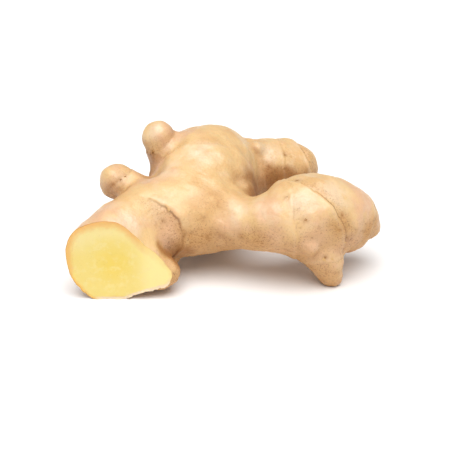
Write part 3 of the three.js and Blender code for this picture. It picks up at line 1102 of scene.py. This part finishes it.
def flesh_masks(tree):
    """The masks by which the flesh's tones are laid, in the cut face's own drawing."""
    at = add_node(tree, "ShaderNodeTexCoord").outputs["Object"]
    x, y = measure(tree, "draw_x"), measure(tree, "draw_y")
    grain = tissue(tree, 120.0, 1500.0, 0.2)
    mask = {"x": x, "y": y, "gap": measure(tree, "rim_gap"), "cloud": spots(tree, at, 260.0, 4.0, 0.65)}
    for name in ("Blotch", "Speck", "Height"):
        mask[name.lower()] = grain.outputs[name]
    away_x = maths(tree, "SUBTRACT", x, CORE_AT[0])
    away_y = maths(tree, "SUBTRACT", y, CORE_AT[1])
    square = plus(tree, times(tree, away_x, away_x), times(tree, away_y, away_y))
    wander = times(tree, mask["blotch"], 5.0)
    mask["core_gap"] = plus(tree, maths(tree, "SQRT", square), wander)
    mask["tail"] = step_between(tree, x, TAIL_FROM, TAIL_FROM + TAIL_FADE)
    return mask


# %% Inner flesh


def inner_tone(tree, mask):
    """Yellow round a deeper core, paler above and in the tail, faintly mottled."""
    tone = colour_mix(tree, step_between(tree, mask["core_gap"], 15.0, 4.0), FLESH_YELLOW, FLESH_CORE)
    paler = times(tree, step_between(tree, mask["core_gap"], 12.0, 18.0),
                  step_between(tree, mask["y"], 0.0, 9.0))
    tone = glaze(tree, tone, FLESH_PALE, paler, 0.8)
    tone = glaze(tree, tone, FLESH_CREAM, mask["tail"])
    return glaze(tree, tone, FLESH_PALE, step_between(tree, mask["cloud"], 0.48, 0.66), 0.5)


# %% The golden band, the edge and the torn lip


def rim_tone(tree, mask, tone):
    """A golden band of uneven width, a brown edge on the left and the lip low on the right."""
    high_side = step_between(tree, mask["y"], -12.0, 6.0)
    width = plus(tree, times(tree, high_side, 1.6), times(tree, mask["blotch"], 2.2))
    width = times(tree, width, plus(tree, times(tree, mask["cloud"], 1.6), 0.3))
    band = step_between(tree, maths(tree, "DIVIDE", mask["gap"], width), 1.5, 0.1)
    band = times(tree, band, maths(tree, "SUBTRACT", 1.0, times(tree, mask["tail"], 0.7)))
    tone = glaze(tree, tone, FLESH_GOLD, band, 0.8)
    edge = step_between(tree, mask["gap"], 0.5, 0.05)
    on_left = step_between(tree, mask["x"], 12.0, -8.0)
    tone = glaze(tree, tone, FLESH_EDGE, times(tree, edge, plus(tree, times(tree, on_left, 0.55), 0.25)))
    low_right = times(tree, step_between(tree, mask["y"], -7.0, -12.0),
                      step_between(tree, mask["x"], -7.0, -2.0))
    lip = times(tree, low_right, step_between(tree, mask["gap"], 1.3, 0.6))
    tone = glaze(tree, tone, SKIN_CREAM, lip, 0.95)
    return glaze(tree, tone, FLESH_GOLD, mask["speck"], 0.35)


# %% Flesh material


def flesh_material():
    """Moist yellow flesh that lets some light through."""
    material, tree, surface = new_material("ginger_flesh")
    mask = flesh_masks(tree)
    tone = rim_tone(tree, mask, inner_tone(tree, mask))
    tree.links.new(tone, surface.inputs["Base Color"])
    rough = plus(tree, times(tree, mask["blotch"], 0.25), 0.24)
    tree.links.new(rough, surface.inputs["Roughness"])
    surface.inputs["Subsurface Weight"].default_value = 0.25
    surface.inputs["Subsurface Radius"].default_value = (1.0, 0.7, 0.25)
    surface.inputs["Subsurface Scale"].default_value = 0.004
    tree.links.new(bump(tree, mask["height"], 0.25, 0.00012), surface.inputs["Normal"])
    print("ginger_flesh:", len(tree.nodes), "nodes")
    return material


root_mesh.materials.append(skin_material())
root_mesh.materials.append(flesh_material())

# %% [markdown]
# ## Pieces that repeat
# Root scars, scale flakes and fibre ends each repeat one small shape many times. Geometry
# Nodes does that: a tree puts the shape on every point, turned to the skin, at a random
# size with a fixed seed. The result is then kept as a plain mesh and the modifier removed.

# %% A tree that sets a shape on points


def new_tree(name, inputs):
    """A geometry tree with a Geometry input and output and more named inputs."""
    tree = bpy.data.node_groups.new(name, "GeometryNodeTree")
    tree.interface.new_socket("Geometry", in_out="INPUT", socket_type="NodeSocketGeometry")
    for label, kind in inputs:
        tree.interface.new_socket(label, in_out="INPUT", socket_type=kind)
    tree.interface.new_socket("Geometry", in_out="OUTPUT", socket_type="NodeSocketGeometry")
    return tree, tree.nodes.new("NodeGroupInput"), tree.nodes.new("NodeGroupOutput")


def place_shape(tree, start, end, points_socket, rotation):
    """The shared end of both trees: random size, real faces, material."""
    shape = add_node(tree, "GeometryNodeObjectInfo", {"Object": start.outputs["Shape"]})
    sizes = {2: start.outputs["Smallest"], 3: start.outputs["Largest"], "Seed": start.outputs["Seed"]}
    size = add_node(tree, "FunctionNodeRandomValue", sizes)
    put = add_node(tree, "GeometryNodeInstanceOnPoints",
                   {"Points": points_socket, "Instance": shape.outputs["Geometry"],
                    "Rotation": rotation, "Scale": size.outputs[1]})
    real = add_node(tree, "GeometryNodeRealizeInstances", {"Geometry": put.outputs["Instances"]})
    painted = add_node(tree, "GeometryNodeSetMaterial",
                       {"Geometry": real.outputs["Geometry"], "Material": start.outputs["Material"]})
    tree.links.new(painted.outputs["Geometry"], end.inputs["Geometry"])


SCATTER_INPUTS = [
    ("Shape", "NodeSocketObject"), ("Smallest", "NodeSocketFloat"), ("Largest", "NodeSocketFloat"),
    ("Seed", "NodeSocketInt"), ("Material", "NodeSocketMaterial"),
]
SPACING_INPUTS = [("Distance", "NodeSocketFloat"), ("Density", "NodeSocketFloat")]


def vector_measure(tree, name):
    """A direction kept on the mesh's points."""
    node = add_node(tree, "GeometryNodeInputNamedAttribute", {"Name": name}, data_type="FLOAT_VECTOR")
    return node.outputs["Attribute"]


def points_tree():
    """Sets the shape on given points, which carry `outward` and `forward`."""
    tree, start, end = new_tree("Shape on marked points", SCATTER_INPUTS)
    axes = {"Primary Axis": vector_measure(tree, "outward"),
            "Secondary Axis": vector_measure(tree, "forward")}
    turned = add_node(tree, "FunctionNodeAxesToRotation", axes, primary_axis="Z", secondary_axis="X")
    place_shape(tree, start, end, start.outputs["Geometry"], turned.outputs["Rotation"])
    return tree


def strewn_tree():
    """Strews the shape over faces, no two closer than a set distance."""
    tree, start, end = new_tree("Shape strewn on faces", SCATTER_INPUTS + SPACING_INPUTS)
    strewn = add_node(tree, "GeometryNodeDistributePointsOnFaces",
                      {"Mesh": start.outputs["Geometry"], "Distance Min": start.outputs["Distance"],
                       "Density Max": start.outputs["Density"], "Seed": start.outputs["Seed"]},
                      distribute_method="POISSON")
    place_shape(tree, start, end, strewn.outputs["Points"], strewn.outputs["Rotation"])
    return tree


def grown(name, ground, tree, values):
    """Runs a tree on a ground mesh and keeps the result as a plain mesh object."""
    piece = bpy.data.objects.new(name, ground)
    bpy.context.scene.collection.objects.link(piece)
    modifier = piece.modifiers.new("Scatter", "NODES")
    modifier.node_group = tree
    inputs = [item for item in tree.interface.items_tree if item.in_out == "INPUT"]
    sockets = {item.name: item.identifier for item in inputs}
    for label, value in values.items():
        modifier[sockets[label]] = value
    result = bpy.data.meshes.new_from_object(piece.evaluated_get(bpy.context.evaluated_depsgraph_get()))
    piece.modifiers.remove(modifier)
    piece.data = result
    result.name = name
    bpy.data.meshes.remove(ground)
    print(name, "has", len(result.polygons), "faces")
    return piece


def dressed(piece):
    """Hangs a finished piece on the root's body and hides the solid part it stands in for."""
    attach(piece, "root")
    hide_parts("rhizome")


# %% [markdown]
# ### Small shapes
# A root scar is a low crater with a rim. A scale flake is a curled scrap of the papery leaf
# that once wrapped the finger. A fibre end is a flattened bead. Each is one unit wide, so
# that the size in the tree is its size on the root. `pit` marks the crater's dark middle.

# %% Root scar
SCAR_PROFILE = [(0.0, 0.02), (0.30, 0.04), (0.58, 0.14), (0.84, 0.15), (1.10, 0.00), (1.35, -0.35)]
SCAR_FOOT = -0.8


def shape_object(name, verts, faces, pit=None):
    """A small shape as an object, not yet placed anywhere."""
    mesh = bpy.data.meshes.new(name)
    mesh.from_pydata(verts, [], faces)
    mesh.polygons.foreach_set("use_smooth", [True] * len(faces))
    layer = mesh.attributes.new("pit", "FLOAT", "POINT")
    layer.data.foreach_set("value", pit or [0.0] * len(verts))
    return bpy.data.objects.new(name, mesh)


def scar_shape(sides=14):
    """A crater turned from its profile, a little out of round, closed underneath."""
    rng = np.random.default_rng(3)
    swell = 1 + 0.26 * rng.normal(size=sides)
    verts = [(0, 0, SCAR_PROFILE[0][1])]
    for radius, height in SCAR_PROFILE[1:]:
        for k in range(sides):
            turn = 2 * math.pi * k / sides
            x = radius * swell[k] * math.cos(turn)
            y = 0.8 * radius * swell[k - 3] * math.sin(turn)
            verts.append((x, y, height))
    verts.append((0, 0, SCAR_FOOT))
    rows = len(SCAR_PROFILE) - 1
    faces = [(0, 1 + k, 1 + (k + 1) % sides) for k in range(sides)]
    for row in range(rows - 1):
        a = 1 + row * sides
        for k in range(sides):
            n = (k + 1) % sides
            faces.append((a + k, a + sides + k, a + sides + n, a + n))
    a = 1 + (rows - 1) * sides
    faces += [(a + k, len(verts) - 1, a + (k + 1) % sides) for k in range(sides)]
    pit = [1.0] + [0.9] * sides + [0.5] * sides + [0.15] * (len(verts) - 1 - 2 * sides)
    return shape_object("scar_shape", verts, faces, pit)


# %% Scale flake


def flake_shape(across_count=6, along_count=5, thickness=0.05):
    """A curled scrap with a torn front edge, closed all round."""
    rng = np.random.default_rng(9)
    torn_edge = 1 + 0.25 * rng.normal(size=across_count)
    top = []
    for i in range(across_count):
        u = i / (across_count - 1) - 0.5
        for j in range(along_count):
            v = j / (along_count - 1)
            reach = v * torn_edge[i] * (1 - 1.6 * u * u)
            curl = 0.02 + 0.08 * v * v - 0.4 * u * u * (1 - 0.6 * v)
            top.append((reach - 0.25, u * (1 - 0.25 * v), curl))
    under = [(x, y, z - thickness) for x, y, z in top]
    number = np.arange(len(top)).reshape(across_count, along_count)
    faces = []
    for i in range(across_count - 1):
        for j in range(along_count - 1):
            square = (number[i, j], number[i + 1, j], number[i + 1, j + 1], number[i, j + 1])
            faces.append(square)
            faces.append(tuple(n + len(top) for n in reversed(square)))
    border = [*number[:, 0], *number[-1, 1:], *number[-2::-1, -1], *number[0, -2:0:-1]]
    for a, b in zip(border, border[1:] + border[:1]):
        faces.append((b, a, a + len(top), b + len(top)))
    faces = [tuple(int(n) for n in face) for face in faces]
    return shape_object("flake_shape", top + under, faces)


# %% Fibre end and the ground it grows on
CLEAR_OF_RIM = 1.6


def bead_shape():
    """A flattened round bead."""
    unit = bmesh.new()
    bmesh.ops.create_icosphere(unit, subdivisions=1, radius=0.5)
    verts = [(v.co.x, v.co.y, v.co.z * 0.35) for v in unit.verts]
    faces = [tuple(v.index for v in f.verts) for f in unit.faces]
    unit.free()
    return shape_object("bead_shape", verts, faces)


def flesh_faces():
    """The cut face alone, without the drying rim."""
    sheet = bmesh.new()
    sheet.from_mesh(root_mesh)
    gap = sheet.verts.layers.float["rim_gap"]
    outer = [f for f in sheet.faces if f.material_index == 0 or min(v[gap] for v in f.verts) < CLEAR_OF_RIM]
    bmesh.ops.delete(sheet, geom=outer, context="FACES")
    mesh = bpy.data.meshes.new("flesh_faces")
    sheet.to_mesh(mesh)
    sheet.free()
    return mesh


# %% Dry tissue


def dry_material(name, pale, dark, roughness):
    """Dead dry tissue, dark where `pit` is high."""
    material, tree, surface = new_material(name)
    grain = tissue(tree, 300.0, 1800.0, 0.5)
    tone = colour_mix(tree, grain.outputs["Blotch"], pale, dark)
    tone = colour_mix(tree, measure(tree, "pit"), tone, SKIN_DARK)
    tree.links.new(tone, surface.inputs["Base Color"])
    surface.inputs["Roughness"].default_value = roughness
    tree.links.new(bump(tree, grain.outputs["Height"], 0.4, 0.0001), surface.inputs["Normal"])
    return material


# %% Grow the pieces
SCAR_SINK = 0.05
on_points = points_tree()
on_faces = strewn_tree()
scar_ground = marked_points("scar_ground", scar_points, SCAR_SINK)
flake_ground = marked_points("flake_ground", flake_points, 0.0)
root_scars = grown("root_scars", scar_ground, on_points, {
    "Shape": scar_shape(), "Smallest": 0.30 * MM, "Largest": 0.75 * MM, "Seed": 4,
    "Material": dry_material("scar_tissue", SKIN_TAN, SKIN_BROWN, 0.75)})
scale_flakes = grown("scale_flakes", flake_ground, on_points, {
    "Shape": flake_shape(), "Smallest": 0.8 * MM, "Largest": 1.8 * MM, "Seed": 8,
    "Material": dry_material("papery_scale", SKIN_STRAW, SKIN_TAN, 0.6)})
fibre_ends = grown("fibre_ends", flesh_faces(), on_faces, {
    "Shape": bead_shape(), "Smallest": 0.18 * MM, "Largest": 0.42 * MM, "Seed": 5, "Distance": 1.1 * MM,
    "Density": 600000.0, "Material": root_mesh.materials[1]})
for piece in (ginger_root, root_scars, scale_flakes, fibre_ends):
    dressed(piece)
for shape in [o for o in bpy.data.objects if o.name.endswith("_shape")]:
    bpy.data.objects.remove(shape)

# %% [markdown]
# ## Table, light and camera
# The root lies on a plain pale table. One very wide, soft light stands high and a little in
# front, as a softbox does, and a pale surround fills in, so each swelling has a broad
# highlight on top and the shadows stay close to the root. The camera looks down at it a
# little from a fair distance, which keeps the near and the far finger in true proportion.

# %% Table
FLOOR_HALF = 3.0
corners = [(FLOOR_HALF * x, FLOOR_HALF * y, 0) for x, y in ((-1, -1), (1, -1), (1, 1), (-1, 1))]
floor_mesh = bpy.data.meshes.new("table")
floor_mesh.from_pydata(corners, [], [(0, 1, 2, 3)])
table = bpy.data.objects.new("table", floor_mesh)
bpy.context.scene.collection.objects.link(table)
table_paint, _, table_surface = new_material("pale_table")
table_surface.inputs["Base Color"].default_value = (0.93, 0.94, 0.96, 1)
table_surface.inputs["Roughness"].default_value = 0.9
table_surface.inputs["Specular IOR Level"].default_value = 0.1
floor_mesh.materials.append(table_paint)
print("table:", 2 * FLOOR_HALF, "m square")

# %% Light
KEY_FROM = (0.02, -0.30, 0.95)
KEY_STRENGTH = 3.1
KEY_SOFTNESS = math.radians(60)
SURROUND = 0.40
lamp = bpy.data.lights.new("high_softbox", "SUN")
lamp.energy = KEY_STRENGTH
lamp.angle = KEY_SOFTNESS
lamp.color = (1.0, 0.98, 0.95)
holder = bpy.data.objects.new("high_softbox", lamp)
holder.rotation_euler = Vector(KEY_FROM).to_track_quat("Z", "Y").to_euler()
bpy.context.scene.collection.objects.link(holder)
world = bpy.data.worlds.new("white_studio")
world.use_nodes = True
background = world.node_tree.nodes["Background"]
background.inputs["Color"].default_value = (1, 1, 1, 1)
background.inputs["Strength"].default_value = SURROUND
bpy.context.scene.world = world
bpy.context.scene.view_settings.view_transform = "Standard"
print("softbox", math.degrees(KEY_SOFTNESS), "degrees wide")

# %% Camera
CAMERA_DISTANCE = 560 * MM
CAMERA_HEIGHT_ANGLE = math.radians(25)
AIM = Vector((1.1, 0, 20.4))
LENS = 100.8
SENSOR = 36
aim = (AIM + Vector(shift)) * MM
lens = bpy.data.cameras.new("camera")
lens.lens = LENS
lens.sensor_width = SENSOR
camera = bpy.data.objects.new("camera", lens)
towards = Vector((0, -math.cos(CAMERA_HEIGHT_ANGLE), math.sin(CAMERA_HEIGHT_ANGLE)))
camera.location = aim + CAMERA_DISTANCE * towards
camera.rotation_euler = (aim - camera.location).to_track_quat("-Z", "Y").to_euler()
bpy.context.scene.collection.objects.link(camera)
bpy.context.scene.camera = camera
print("camera at", [round(c, 3) for c in camera.location])
